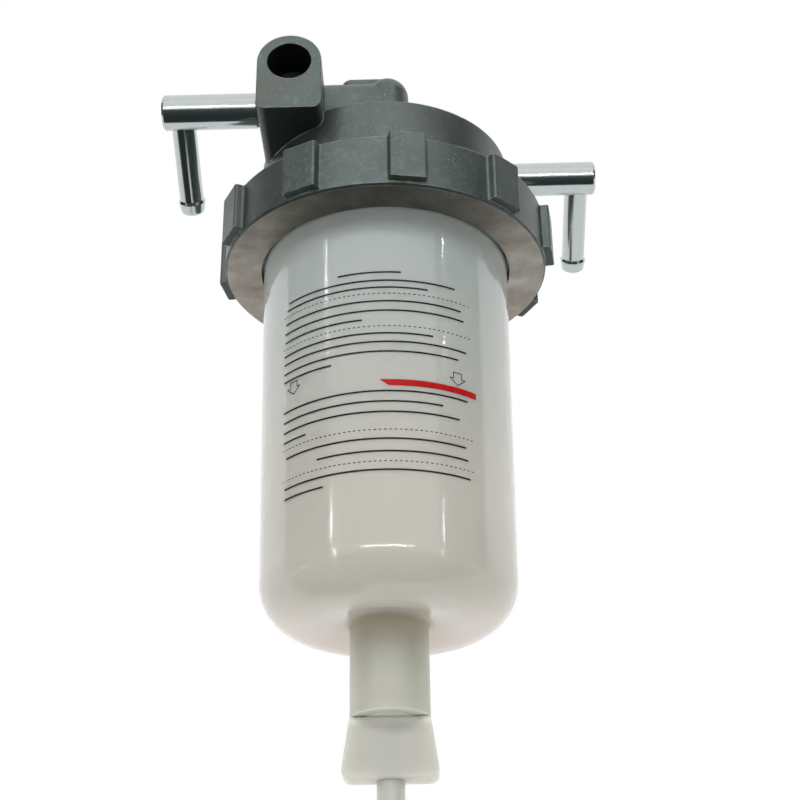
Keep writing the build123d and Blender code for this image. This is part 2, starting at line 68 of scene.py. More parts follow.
# Camera fitted to the photograph
CAMERA_PLACE = (0.03439, -0.32770, -0.27612)
CAMERA_LOOK = (-0.013243, 0.888761, 0.458180)
CAMERA_ROLL = radians(-0.85)
CAMERA_LENS = 67.5
CAMERA_SENSOR = 36.0
CAMERA_CLIP = 0.01

# Values between which a noise field turns from its dark patches to its light ones
FIELD_LOW = 0.3
FIELD_HIGH = 0.7


# Node helpers
def material(name):
    """A new material, with its node tree and its Principled shader."""
    mat = bpy.data.materials.new(name)
    mat.use_nodes = True
    tree = mat.node_tree
    return mat, tree, tree.nodes["Principled BSDF"]


def link(tree, source, socket):
    """Joins an output to an input."""
    tree.links.new(source, socket)


def object_coords(tree):
    """The object's own coordinates, in metres."""
    return tree.nodes.new("ShaderNodeTexCoord").outputs["Object"]


def noise(tree, coords, scale, detail=2.0, roughness=0.5):
    """The value of a noise texture."""
    node = tree.nodes.new("ShaderNodeTexNoise")
    node.inputs["Scale"].default_value = scale
    node.inputs["Detail"].default_value = detail
    node.inputs["Roughness"].default_value = roughness
    link(tree, coords, node.inputs["Vector"])
    return node.outputs["Fac"]


def ramp(tree, value, stops):
    """A colour ramp through (position, colour) stops."""
    node = tree.nodes.new("ShaderNodeValToRGB")
    elements = node.color_ramp.elements
    while len(elements) < len(stops):
        elements.new(0.5)
    for element, (position, colour) in zip(elements, stops):
        element.position = position
        element.color = (*colour, 1.0)
    link(tree, value, node.inputs["Fac"])
    return node.outputs["Color"]


def spread(tree, value, low, high, at_low, at_high):
    """Maps low..high to at_low..at_high, clamped."""
    node = tree.nodes.new("ShaderNodeMapRange")
    node.inputs["From Min"].default_value = low
    node.inputs["From Max"].default_value = high
    node.inputs["To Min"].default_value = at_low
    node.inputs["To Max"].default_value = at_high
    link(tree, value, node.inputs["Value"])
    return node.outputs["Result"]


def rising(tree, value, start, end):
    """0 up to start, and 1 from end on."""
    return spread(tree, value, start, end, 0.0, 1.0)


def falling(tree, value, start, end):
    """1 up to start, and 0 from end on."""
    return spread(tree, value, start, end, 1.0, 0.0)


def two_tone(tree, field, dark, light):
    """A colour that follows a noise field's dark and light patches."""
    return ramp(tree, field, ((FIELD_LOW, dark), (FIELD_HIGH, light)))


def varied(tree, field, in_dark, in_light):
    """A number that follows a noise field's dark and light patches."""
    return spread(tree, field, FIELD_LOW, FIELD_HIGH, in_dark, in_light)


def mix_colour(tree, factor, first, second):
    """Mixes two colours or outputs by a factor output."""
    node = tree.nodes.new("ShaderNodeMix")
    node.data_type = "RGBA"
    link(tree, factor, node.inputs["Factor"])
    for socket, value in ((node.inputs["A"], first), (node.inputs["B"], second)):
        if isinstance(value, tuple):
            socket.default_value = (*value, 1.0)
        else:
            link(tree, value, socket)
    return node.outputs["Result"]


def bump(tree, height, distance, normal=None):
    """A bump of a height output, distance metres high."""
    node = tree.nodes.new("ShaderNodeBump")
    node.inputs["Strength"].default_value = 1.0
    node.inputs["Distance"].default_value = distance
    link(tree, height, node.inputs["Height"])
    if normal:
        link(tree, normal, node.inputs["Normal"])
    return node.outputs["Normal"]


def patches(tree, coords, scale, detail, roughness, start, full, strength=1.0):
    """A factor that rises to its strength inside the light patches of a noise texture."""
    return spread(tree, noise(tree, coords, scale, detail, roughness), start, full, 0.0, strength)


def soft_edges(tree, radius):
    """Normals rounded over sharp edges."""
    node = tree.nodes.new("ShaderNodeBevel")
    node.samples = 6
    node.inputs["Radius"].default_value = radius
    return node.outputs["Normal"]


def calculate(tree, operation, *values):
    """The result of a Math node on outputs and plain numbers."""
    node = tree.nodes.new("ShaderNodeMath")
    node.operation = operation
    for socket, value in zip(node.inputs, values):
        if isinstance(value, float):
            socket.default_value = value
        else:
            link(tree, value, socket)
    return node.outputs[0]


def both(tree, first, second):
    """The product of two factors."""
    return calculate(tree, "MULTIPLY", first, second)


def axis_value(tree, coords, name):
    """One coordinate of a vector output."""
    node = tree.nodes.new("ShaderNodeSeparateXYZ")
    link(tree, coords, node.inputs["Vector"])
    return node.outputs[name]


def vector_node(tree, operation, first, second=None):
    """A Vector Math node on an output and a second output or plain vector."""
    node = tree.nodes.new("ShaderNodeVectorMath")
    node.operation = operation
    link(tree, first, node.inputs[0])
    if isinstance(second, tuple):
        node.inputs[1].default_value = second
    elif second:
        link(tree, second, node.inputs[1])
    return node.outputs


def dot(tree, first, second):
    """The dot product of two vector outputs."""
    return vector_node(tree, "DOT_PRODUCT", first, second)["Value"]


def off_line(tree, coords, plane, centre=(0.0, 0.0, 0.0)):
    """The distance from a line through centre, square to a coordinate plane such as XY."""
    moved = vector_node(tree, "SUBTRACT", coords, centre)["Vector"]
    in_plane = tuple(float(axis in plane) for axis in "XYZ")
    flattened = vector_node(tree, "MULTIPLY", moved, in_plane)["Vector"]
    return vector_node(tree, "LENGTH", flattened)["Value"]


def wear(name, tones, scale, metallic, roughness, bump_size=0.0):
    """A plain procedural finish: two tones, varied roughness and a fine bump."""
    mat, tree, shader = material(name)
    field = noise(tree, object_coords(tree), scale, detail=3.0)
    link(tree, two_tone(tree, field, *tones), shader.inputs["Base Color"])
    link(tree, varied(tree, field, *roughness), shader.inputs["Roughness"])
    shader.inputs["Metallic"].default_value = metallic
    if bump_size:
        link(tree, bump(tree, field, bump_size), shader.inputs["Normal"])
    return mat


# Cast alloy of the head and the ring nut: dark grey with a faint green cast
ALLOY_TONES = ((0.076, 0.098, 0.092), (0.124, 0.155, 0.144))
ALLOY_GRAIN = (0.168, 0.200, 0.188)
ALLOY_MOTTLE = (0.205, 0.240, 0.226)
ALLOY_STAIN = (0.125, 0.127, 0.112)
ALLOY_FLECK = (0.36, 0.40, 0.38)
# Painted shade for the faces that look down
ALLOY_UNDERSIDE_PAINTED_SHADE = (0.028, 0.034, 0.029)
# Rubbed metal and painted highlight along edges
ALLOY_RUBBED_AND_HIGHLIGHT = (0.48, 0.52, 0.50)
# Painted shade inside the mounting hole
ALLOY_BORE_PAINTED_SHADE = (0.012, 0.015, 0.013)
ALLOY_EDGE_R = 0.0005
GRAIN_RANGE = (0.20, 0.80)

# How far a face looks down, by the Z of its normal, and how much painted shade darkens it then
DOWNWARD = (-0.90, -0.40)
STRAIGHT_DOWN = (-0.97, -0.90)
PAINTED_UNDERSIDE_SHARE = 0.75

# The nut's machined lower face: its blotches, the painted shade over its front and where that ends
MACHINED_STOPS = (
    (0.32, (0.20, 0.178, 0.15)),
    (0.52, (0.30, 0.27, 0.235)),
    (0.70, (0.40, 0.375, 0.335)),
)
MACHINED_Z = (NUT_BOTTOM_Z + 0.0003, NUT_BOTTOM_Z + 0.0006)
PAINTED_SHADE_TONE = (0.055, 0.058, 0.046)
PAINTED_SHADE_Y = (-0.004, 0.025)
PAINTED_SHADE_SHARE = 0.75

# Where painted shade darkens the mounting hole's wall
BORE_WALL_R = (HOLE_R - 0.0002, HOLE_R + 0.0002)
BORE_MOUTH_Y = (0.0002, 0.0008)
BORE_END_Y = (HOLE_END_Y, HOLE_END_Y + 0.001)

# Rubbed edges with a painted highlight, by how nearly the rounded normal agrees with the face's own
RUBBED_AND_HIGHLIGHT_AGREEMENT = (0.86, 0.97)


def flecks(tree, coords):
    """Small round spots of uneven size, in patches."""
    cells = tree.nodes.new("ShaderNodeTexVoronoi")
    cells.inputs["Scale"].default_value = 900.0
    link(tree, coords, cells.inputs["Vector"])
    size = patches(tree, coords, 180.0, detail=2.0, roughness=0.5, start=0.44, full=0.75, strength=0.20)
    return calculate(tree, "LESS_THAN", cells.outputs["Distance"], size)


def cast_skin(tree, coords, grain):
    """The skin as it left the mould: broad tones, fine grain, mottling, stains and flecks."""
    tone = two_tone(tree, noise(tree, coords, 60.0, detail=3.0, roughness=0.6), *ALLOY_TONES)
    skin = mix_colour(tree, rising(tree, grain, *GRAIN_RANGE), tone, ALLOY_GRAIN)
    mottle = patches(tree, coords, 330.0, detail=5.0, roughness=0.72, start=0.52, full=0.72, strength=0.8)
    skin = mix_colour(tree, mottle, skin, ALLOY_MOTTLE)
    stains = patches(tree, coords, 45.0, detail=3.0, roughness=0.6, start=0.50, full=0.66, strength=0.55)
    skin = mix_colour(tree, stains, skin, ALLOY_STAIN)
    return mix_colour(tree, flecks(tree, coords), skin, ALLOY_FLECK)


def paint_underside_shade(tree, facing, skin):
    """Darkens the faces that look down with painted shade."""
    return mix_colour(tree, spread(tree, facing, *DOWNWARD, PAINTED_UNDERSIDE_SHARE, 0.0), skin, ALLOY_UNDERSIDE_PAINTED_SHADE)


def bare_nut_face_with_painted_shade(tree, coords, facing, skin):
    """Bares the nut's machined lower face, with painted shade over its front."""
    blotches = ramp(tree, noise(tree, coords, 95.0, detail=5.0, roughness=0.65), MACHINED_STOPS)
    shade_at_front = spread(tree, axis_value(tree, coords, "Y"), *PAINTED_SHADE_Y, PAINTED_SHADE_SHARE, 0.0)
    # The machined face's blotches, with painted shade over its front
    machined = mix_colour(tree, shade_at_front, blotches, PAINTED_SHADE_TONE)
    straight_down = falling(tree, facing, *STRAIGHT_DOWN)
    at_nut_bottom = falling(tree, axis_value(tree, coords, "Z"), *MACHINED_Z)
    return mix_colour(tree, both(tree, straight_down, at_nut_bottom), skin, machined)


def rub_and_highlight_edges(tree, coords, rounded, skin):
    """Bares the metal along edges, in patches, and so paints a highlight there too."""
    own = tree.nodes.new("ShaderNodeNewGeometry").outputs["Normal"]
    at_edge = falling(tree, dot(tree, rounded, own), *RUBBED_AND_HIGHLIGHT_AGREEMENT)
    rubbed = patches(tree, coords, 260.0, detail=3.0, roughness=0.5, start=0.36, full=0.58)
    return mix_colour(tree, both(tree, at_edge, rubbed), skin, ALLOY_RUBBED_AND_HIGHLIGHT)


def paint_bore_shade(tree, coords, skin):
    """Darkens the mounting hole's wall between its mouth and its end with painted shade."""
    at_wall = falling(tree, off_line(tree, coords, "XZ"), *BORE_WALL_R)
    depth = axis_value(tree, coords, "Y")
    past_mouth = rising(tree, depth, *BORE_MOUTH_Y)
    before_end = falling(tree, depth, *BORE_END_Y)
    in_bore = both(tree, at_wall, both(tree, past_mouth, before_end))
    return mix_colour(tree, in_bore, skin, ALLOY_BORE_PAINTED_SHADE)


def cast_alloy():
    """Die-cast alloy: its skin, painted shade on its undersides, its machined face with painted shade
    over the front, its rubbed edges with a painted highlight, and painted shade in its mounting hole.
    """
    mat, tree, shader = material("cast_alloy")
    coords = object_coords(tree)
    grain = noise(tree, coords, 1400.0, detail=4.0, roughness=0.7)
    rounded = soft_edges(tree, ALLOY_EDGE_R)
    facing = axis_value(tree, tree.nodes.new("ShaderNodeTexCoord").outputs["Normal"], "Z")
    colour = cast_skin(tree, coords, grain)
    colour = paint_underside_shade(tree, facing, colour)
    colour = bare_nut_face_with_painted_shade(tree, coords, facing, colour)
    colour = rub_and_highlight_edges(tree, coords, rounded, colour)
    colour = paint_bore_shade(tree, coords, colour)
    link(tree, colour, shader.inputs["Base Color"])
    shader.inputs["Metallic"].default_value = 0.85
    link(tree, varied(tree, grain, 0.36, 0.50), shader.inputs["Roughness"])
    link(tree, bump(tree, grain, 0.000035, rounded), shader.inputs["Normal"])
    return mat


# Bright plating of the bars and hose tails
PLATE_TONES = ((0.53, 0.57, 0.57), (0.56, 0.60, 0.60))
PLATE_EDGE_R = 0.0003


def bright_plate():
    """Bright plating, nearly even."""
    mat, tree, shader = material("bright_plate")
    field = noise(tree, object_coords(tree), 500.0, detail=3.0)
    link(tree, two_tone(tree, field, *PLATE_TONES), shader.inputs["Base Color"])
    link(tree, varied(tree, field, 0.12, 0.15), shader.inputs["Roughness"])
    shader.inputs["Metallic"].default_value = 1.0
    link(tree, soft_edges(tree, PLATE_EDGE_R), shader.inputs["Normal"])
    return mat


# Milky plastic of the bowl and its neck
# The top tones are darkened with painted shade under the nut
BOWL_TOP_SHADED_TONES = ((0.40, 0.44, 0.42), (0.45, 0.485, 0.465))
BOWL_FOOT_TONES = ((0.545, 0.522, 0.465), (0.585, 0.56, 0.505))
BOWL_BACK_TONE = (0.59, 0.52, 0.475)
NECK_TONES = ((0.48, 0.48, 0.41), (0.54, 0.535, 0.46))
# A dark brown band at the neck's root: painted shade, and the seal showing through
NECK_ROOT_SEAL_AND_SHADE = (0.42, 0.37, 0.265)
# Painted light on the neck's end, over the shade of its gap to the plug
NECK_END_PAINTED_LIGHT = (0.62, 0.615, 0.54)
NECK_DULLER = 0.4
BOWL_EDGE_R = 0.0003

# Where the bowl turns from its top tones, darkened by painted shade under the nut, to its foot
# tones, where its back turns pink, and where the neck's own tones begin
BOWL_TONE_Z = (-0.125, -0.06)
BOWL_BACK_Z = (-0.1515, -0.1440)
BOWL_BACK_Y = (AXIS_Y - 0.016, AXIS_Y + 0.002)
NECK_WALL_R = (NECK_R + 0.0002, NECK_R + 0.0016)
NECK_TOP_Z = (NECK_ROOT_Z, NECK_ROOT_Z + 0.002)
NECK_SHADOW_Z = (NECK_ROOT_Z - 0.010, NECK_ROOT_Z - 0.003)
NECK_RIM_Z = (NECK_END_Z, NECK_END_Z + 0.0006)


def let_light_in(shader, weight, depth):
    """Soft scattering under a milky surface."""
    shader.inputs["Subsurface Weight"].default_value = weight
    shader.inputs["Subsurface Radius"].default_value = (1.0, 0.97, 0.90)
    shader.inputs["Subsurface Scale"].default_value = depth


def bowl_colour(tree, coords, height, cloud):
    """Cool and darker near the nut with painted shade, warmer down to the foot, and a little pink behind
    it.
    """
    top = two_tone(tree, cloud, *BOWL_TOP_SHADED_TONES)
    foot = two_tone(tree, cloud, *BOWL_FOOT_TONES)
    body = mix_colour(tree, falling(tree, height, *BOWL_TONE_Z), top, foot)
    low_down = spread(tree, height, *BOWL_BACK_Z, 0.9, 0.0)
    far_half = spread(tree, axis_value(tree, coords, "Y"), *BOWL_BACK_Y, 0.1, 1.0)
    return mix_colour(tree, both(tree, low_down, far_half), body, BOWL_BACK_TONE)


def milky_plastic():
    """Milky, glossy plastic: near white on the bowl, greener and duller down the drain neck."""
    mat, tree, shader = material("milky_plastic")
    coords = object_coords(tree)
    height = axis_value(tree, coords, "Z")
    cloud = noise(tree, coords, 22.0)
    at_wall = falling(tree, off_line(tree, coords, "XY", BOWL_AXIS), *NECK_WALL_R)
    on_neck = both(tree, at_wall, falling(tree, height, *NECK_TOP_Z))
    colour = bowl_colour(tree, coords, height, cloud)
    colour = mix_colour(tree, on_neck, colour, two_tone(tree, cloud, *NECK_TONES))
    # Paints shade on the neck's root, browned where the seal shows through
    at_root = spread(tree, height, *NECK_SHADOW_Z, 0.0, 0.85)
    colour = mix_colour(tree, both(tree, at_root, on_neck), colour, NECK_ROOT_SEAL_AND_SHADE)
    # Painted light on the neck's end
    lit_rim = spread(tree, height, *NECK_RIM_Z, 0.9, 0.0)
    colour = mix_colour(tree, lit_rim, colour, NECK_END_PAINTED_LIGHT)
    link(tree, colour, shader.inputs["Base Color"])
    gloss = varied(tree, noise(tree, coords, 300.0), 0.10, 0.14)
    gloss = calculate(tree, "MULTIPLY_ADD", on_neck, NECK_DULLER, gloss)
    link(tree, gloss, shader.inputs["Roughness"])
    let_light_in(shader, 0.7, 0.005)
    shader.inputs["Coat Weight"].default_value = 0.3
    shader.inputs["Coat Roughness"].default_value = 0.03
    link(tree, bump(tree, cloud, 0.00006, soft_edges(tree, BOWL_EDGE_R)), shader.inputs["Normal"])
    return mat


# Softer plastic of the drain plug
PLUG_TONES = ((0.51, 0.505, 0.455), (0.56, 0.555, 0.505))
# Painted light along the wing's top edge, over the neck's shadow
WING_TOP_PAINTED_LIGHT = (0.80, 0.79, 0.71)
WING_PAINTED_LIGHT_Z = (WING_TOP_Z - 0.0026, WING_TOP_Z - 0.0003)
PLUG_EDGE_R = 0.0006


def plug_plastic():
    """Soft milky plastic, with painted light along the top edge of the plug's wing, where the neck shades
    it.
    """
    mat, tree, shader = material("plug_plastic")
    coords = object_coords(tree)
    field = noise(tree, coords, 60.0, detail=3.0)
    lit_top = rising(tree, axis_value(tree, coords, "Z"), *WING_PAINTED_LIGHT_Z)
    colour = mix_colour(tree, lit_top, two_tone(tree, field, *PLUG_TONES), WING_TOP_PAINTED_LIGHT)
    link(tree, colour, shader.inputs["Base Color"])
    link(tree, varied(tree, field, 0.32, 0.42), shader.inputs["Roughness"])
    let_light_in(shader, 1.0, 0.007)
    link(tree, bump(tree, field, 0.00008, soft_edges(tree, PLUG_EDGE_R)), shader.inputs["Normal"])
    return mat


# Plain finishes: tones, noise scale, metallic, roughness and bump
PLAIN_FINISHES = {
    "black_rubber": (((0.012, 0.012, 0.012), (0.03, 0.03, 0.028)), 400.0, 0.0, (0.45, 0.6), 0.00003),
    "turned_alloy": (((0.55, 0.56, 0.57), (0.66, 0.67, 0.68)), 600.0, 1.0, (0.22, 0.34), 0.00002),
    "plated_steel": (((0.50, 0.50, 0.46), (0.64, 0.63, 0.57)), 300.0, 1.0, (0.28, 0.42), 0.00002),
    "filter_paper": (((0.62, 0.52, 0.32), (0.74, 0.65, 0.45)), 250.0, 0.0, (0.85, 0.95), 0.00006),
    "float_plastic": (((0.52, 0.03, 0.02), (0.62, 0.05, 0.03)), 150.0, 0.0, (0.35, 0.45), 0.0),
}

finishes = {
    "cast_alloy": cast_alloy(),
    "bright_plate": bright_plate(),
    "milky_plastic": milky_plastic(),
    "plug_plastic": plug_plastic(),
}
for name, numbers in PLAIN_FINISHES.items():
    finishes[name] = wear(name, *numbers)
for subpart in frame["record"]["subparts"]:
    node = nodes[subpart["node"]]
    node.data.materials.clear()
    node.data.materials.append(finishes[subpart["material_slot"]])


# Print on the bowl
def ink(name, tones):
    """Ink: nearly even, slightly uneven in tone and sheen."""
    finish = wear(name, tones, scale=700.0, metallic=0.0, roughness=(0.35, 0.5))
    shader = finish.node_tree.nodes["Principled BSDF"]
    shader.inputs["Specular IOR Level"].default_value = 0.15
    return finish


black_ink = ink("black_ink", ((0.012, 0.012, 0.014), (0.03, 0.03, 0.033)))
red_ink = ink("red_ink", ((0.40, 0.005, 0.004), (0.47, 0.009, 0.007)))
INK_LIFT = 0.00007
INK_TURN_STEP = 1.5

# Red limit line: its thickness at the tip, how much it gains along the slant, and the
# turns of the tip, the slant's end and the line's end
LIMIT_TOP_Z = -0.09785
LIMIT_TIP_WIDTH = 0.00005
LIMIT_GAIN = 0.0017
LIMIT_TURNS = (-1.6, 2.4, 43.5)

# Dashed lines that part the printed area into fields
DASHED_Z = (-0.0727, -0.0824, -0.1118, -0.1204)
DASHED_TURNS = (-50.5, 41.0)
DASH_TURN = 1.0
DASH_PITCH = 2.2
DASH_WIDTH = 0.00024

# Plain ruled lines: height, and the turns where each starts and ends
RULING_WIDTH = 0.0005
RULINGS = (
    (-0.0663, -20.0, 8.0),
    (-0.0688, -47.0, 33.0),
    (-0.0709, -48.0, 20.0),
    (-0.0750, -49.0, 36.0),
    (-0.0778, -49.5, 37.5),
    (-0.0804, -49.5, -9.0),
    (-0.0845, -50.0, 22.0),
    (-0.0870, -50.0, 38.5),
    (-0.0898, -50.0, 34.0),
    (-0.0922, -50.0, -23.0),
    (-0.1011, -50.0, 38.5),
    (-0.1040, -50.0, 26.0),
    (-0.1069, -50.0, 34.0),
    (-0.1097, -50.0, -36.0),
    (-0.1143, -48.0, 37.0),
    (-0.1177, -30.0, 38.0),
    (-0.1227, -49.0, 39.0),
    (-0.1255, -49.0, -27.0),
)

# Outlined arrows: each one's middle turn and top height, and the outline from there
ARROWS = ((33.5, -0.0936), (-43.4, -0.0931))
ARROW_OUTLINE = (
    (-2.1, 0.0),
    (2.1, 0.0),
    (2.1, -0.0017),
    (3.9, -0.0017),
    (0.0, -0.0036),
    (-3.9, -0.0017),
    (-2.1, -0.0017),
)
ARROW_LINE = 0.00022
ARROW_SIDE_PIECES = 4


def bowl_radius(z):
    """The bowl's outer radius at height z."""
    share = (NUT_BOTTOM_Z - z) / (NUT_BOTTOM_Z - BOWL_BOTTOM_Z)
    return BOWL_TOP_R + (BOWL_FOOT_R - BOWL_TOP_R) * share


def on_bowl(turn, z):
    """A point just proud of the bowl's wall."""
    radius = bowl_radius(z) + INK_LIFT
    return Vector((AXIS_X + radius * sin(radians(turn)), AXIS_Y - radius * cos(radians(turn)), z))


def mesh_object(name, verts, faces, finish):
    """A mesh object in the scene, with one material."""
    mesh = bpy.data.meshes.new(name)
    mesh.from_pydata(verts, [], faces)
    mesh.update()
    mesh.materials.append(finish)
    obj = bpy.data.objects.new(name, mesh)
    scene.collection.objects.link(obj)
    return obj


def ink_piece(name, verts, faces, finish):
    """A printed piece that moves with the bowl."""
    obj = mesh_object(name, verts, faces, finish)
    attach(obj, "bowl")


def ladder_faces(first, steps):
    """Faces between pairs of points, from the point first on."""
    return [(low, low + 2, low + 3, low + 1) for low in range(first, first + 2 * steps, 2)]


def band(verts, faces, start, end, low, high):
    """A strip of ink between two turns; low and high give its edges' heights at a turn."""
    steps = max(1, round(abs(end - start) / INK_TURN_STEP))
    faces.extend(ladder_faces(len(verts), steps))
    for step in range(steps + 1):
        turn = start + (end - start) * step / steps
        verts.append(on_bowl(turn, low(turn)))
        verts.append(on_bowl(turn, high(turn)))


def level_band(verts, faces, z, width, start, end):
    """A level strip of ink about height z."""
    band(verts, faces, start, end, lambda turn: z - width / 2, lambda turn: z + width / 2)


def limit_line():
    """The red limit line, cut on a slant at its left end."""
    verts, faces = [], []
    start, slant_end, end = LIMIT_TURNS

    def low(turn):
        share = min(1.0, (turn - start) / (slant_end - start))
        return LIMIT_TOP_Z - LIMIT_TIP_WIDTH - LIMIT_GAIN * share

    band(verts, faces, start, slant_end, low, lambda turn: LIMIT_TOP_Z)
    band(verts, faces, slant_end, end, low, lambda turn: LIMIT_TOP_Z)
    ink_piece("level_line", verts, faces, red_ink)


def dashes():
    """The dashed lines."""
    verts, faces = [], []
    start, end = DASHED_TURNS
    for z in DASHED_Z:
        turn = start
        while turn < end:
            level_band(verts, faces, z, DASH_WIDTH, turn, turn + DASH_TURN)
            turn += DASH_PITCH
    ink_piece("field_lines", verts, faces, black_ink)


def rulings():
    """The plain ruled lines."""
    verts, faces = [], []
    for z, start, end in RULINGS:
        level_band(verts, faces, z, RULING_WIDTH, start, end)
    ink_piece("rulings", verts, faces, black_ink)


def stroke(verts, faces, start, end, width):
    """A thin stroke between two points, with a small overlap at each end."""
    outward = Vector((start.x - AXIS_X, start.y - AXIS_Y, 0.0)).normalized()
    along = (end - start).normalized()
    side = along.cross(outward) * width / 2
    start = start - along * width / 4
    end = end + along * width / 4
    first = len(verts)
    verts.extend((start - side, end - side, end + side, start + side))
    faces.append((first, first + 1, first + 2, first + 3))


def arrows():
    """Two outlined block arrows that point down at the limit line's height."""
    verts, faces = [], []
    shares = [piece / ARROW_SIDE_PIECES for piece in range(ARROW_SIDE_PIECES + 1)]
    for middle_turn, top in ARROWS:
        corners = [Vector((middle_turn + turn, top + z)) for turn, z in ARROW_OUTLINE]
        for corner, following in zip(corners, corners[1:] + corners[:1]):
            places = [on_bowl(*corner.lerp(following, share)) for share in shares]
            for start, end in zip(places, places[1:]):
                stroke(verts, faces, start, end, ARROW_LINE)
    ink_piece("arrows", verts, faces, black_ink)


limit_line()
dashes()
rulings()
arrows()

# Camera at the photograph's angle
look = Vector(CAMERA_LOOK).normalized()
right = look.cross(Vector((0, 0, 1))).normalized()
up = right.cross(look)
rolled_right = cos(CAMERA_ROLL) * right + sin(CAMERA_ROLL) * up
rolled_up = -sin(CAMERA_ROLL) * right + cos(CAMERA_ROLL) * up
camera_data = bpy.data.cameras.new("camera")
camera_data.lens = CAMERA_LENS
camera_data.sensor_width = CAMERA_SENSOR
camera_data.clip_start = CAMERA_CLIP
camera = bpy.data.objects.new("camera", camera_data)
scene.collection.objects.link(camera)
turned = Matrix((rolled_right, rolled_up, -look)).transposed().to_4x4()
camera.matrix_world = Matrix.Translation(CAMERA_PLACE) @ turned
scene.camera = camera

# Floor and the cards around the part
WHITE = (1.0, 1.0, 1.0)
FLOOR_Z = -0.36
FLOOR_HALF = 6.0
FLOOR_TONES = ((0.80, 0.80, 0.80), (0.84, 0.84, 0.84))
FLOOR_IN_GLOSS = (0.90, 0.92, 0.92)
WHITE_DISTANCE = (0.5, 1.6)
CLOTH_TONES = ((0.010, 0.015, 0.014), (0.016, 0.023, 0.022))
CLOTH_Z = -0.35
CLOTH_OUTLINE = (
    (-0.9, -1.3),
    (0.9, -1.3),
    (0.9, -0.01),
    (-0.02, -0.01),
    (-0.02, 0.11),
    (-0.6, 0.11),
    (-0.9, -0.01),
)
FLAG_DISTANCE = 1.45
FLAG_HEIGHTS = (-0.34, 1.9)
FLAG_STEPS = 6


def glow_instead(tree, factor, shader, colour):
    """Mixes a shader output with plain emission by a factor output."""
    glow = tree.nodes.new("ShaderNodeEmission")
    glow.inputs["Color"].default_value = (*colour, 1.0)
    chosen = tree.nodes.new("ShaderNodeMixShader")
    link(tree, factor, chosen.inputs["Fac"])
    link(tree, shader, chosen.inputs[1])
    link(tree, glow.outputs["Emission"], chosen.inputs[2])
    return chosen.outputs["Shader"]


def show_white(tree):
    """Ends a floor in the white background: far off to the camera, and all over in polished surfaces."""
    path = tree.nodes.new("ShaderNodeLightPath").outputs
    far_off = rising(tree, off_line(tree, object_coords(tree), "XY", BOWL_AXIS), *WHITE_DISTANCE)
    shader = tree.nodes["Principled BSDF"].outputs["BSDF"]
    shader = glow_instead(tree, both(tree, path["Is Camera Ray"], far_off), shader, WHITE)
    shader = glow_instead(tree, path["Is Glossy Ray"], shader, FLOOR_IN_GLOSS)
    link(tree, shader, tree.nodes["Material Output"].inputs["Surface"])


def pale_floor():
    """A wide pale floor, below the camera."""
    finish = wear("floor", FLOOR_TONES, scale=3.0, metallic=0.0, roughness=(0.7, 0.8))
    show_white(finish.node_tree)
    corners = ((-1, -1), (1, -1), (1, 1), (-1, 1))
    verts = [(x * FLOOR_HALF, y * FLOOR_HALF, FLOOR_Z) for x, y in corners]
    mesh_object("floor", verts, [(0, 1, 2, 3)], finish)


def mirrored_only(obj):
    """Stages a card that shows only in glossy surfaces and casts no shadow."""
    obj.visible_camera = False
    obj.visible_diffuse = False
    obj.visible_transmission = False
    obj.visible_shadow = False


def dark_cloth(finish):
    """A dark cloth on the floor before the part."""
    verts = [(x, y, CLOTH_Z) for x, y in CLOTH_OUTLINE]
    mirrored_only(mesh_object("dark_cloth", verts, [tuple(range(len(verts)))], finish))


def dark_flag(name, turn_a, turn_b, finish):
    """An upright dark card around the studio's side, between two turns."""
    verts = []
    for step in range(FLAG_STEPS + 1):
        turn = radians(turn_a + (turn_b - turn_a) * step / FLAG_STEPS)
        x = AXIS_X + FLAG_DISTANCE * sin(turn)
        y = AXIS_Y - FLAG_DISTANCE * cos(turn)
        verts.extend((x, y, z) for z in FLAG_HEIGHTS)
    mirrored_only(mesh_object(name, verts, ladder_faces(0, FLAG_STEPS), finish))


pale_floor()
cloth = wear("dark_cloth", CLOTH_TONES, scale=5.0, metallic=0.0, roughness=(0.8, 0.9))
dark_cloth(cloth)
dark_flag("left_flag", -50.0, -100.0, cloth)
dark_flag("right_flag", 46.0, 96.0, cloth)

# Soft studio light. Broad lamps: name, place, target, width, height, watts and colour
MIDDLE = (AXIS_X, AXIS_Y, -0.09)
BROAD_LAMPS = (
    ("key", (-0.05, -1.0, 0.50), MIDDLE, 0.6, 0.5, 8.0, WHITE),
    ("top", (0.1, 0.1, 1.1), MIDDLE, 0.8, 0.8, 4.0, WHITE),
    ("low_left", (-0.62, 0.69, -0.27), MIDDLE, 0.5, 0.14, 2.2, (1.0, 0.96, 0.90)),
    ("low_right", (0.67, 0.69, -0.27), MIDDLE, 0.5, 0.14, 1.7, (1.0, 0.95, 0.90)),
    ("under", (AXIS_X, 0.26, -0.34), (AXIS_X, 0.06, -0.12), 0.5, 0.25, 0.6, (1.0, 0.95, 0.92)),
)

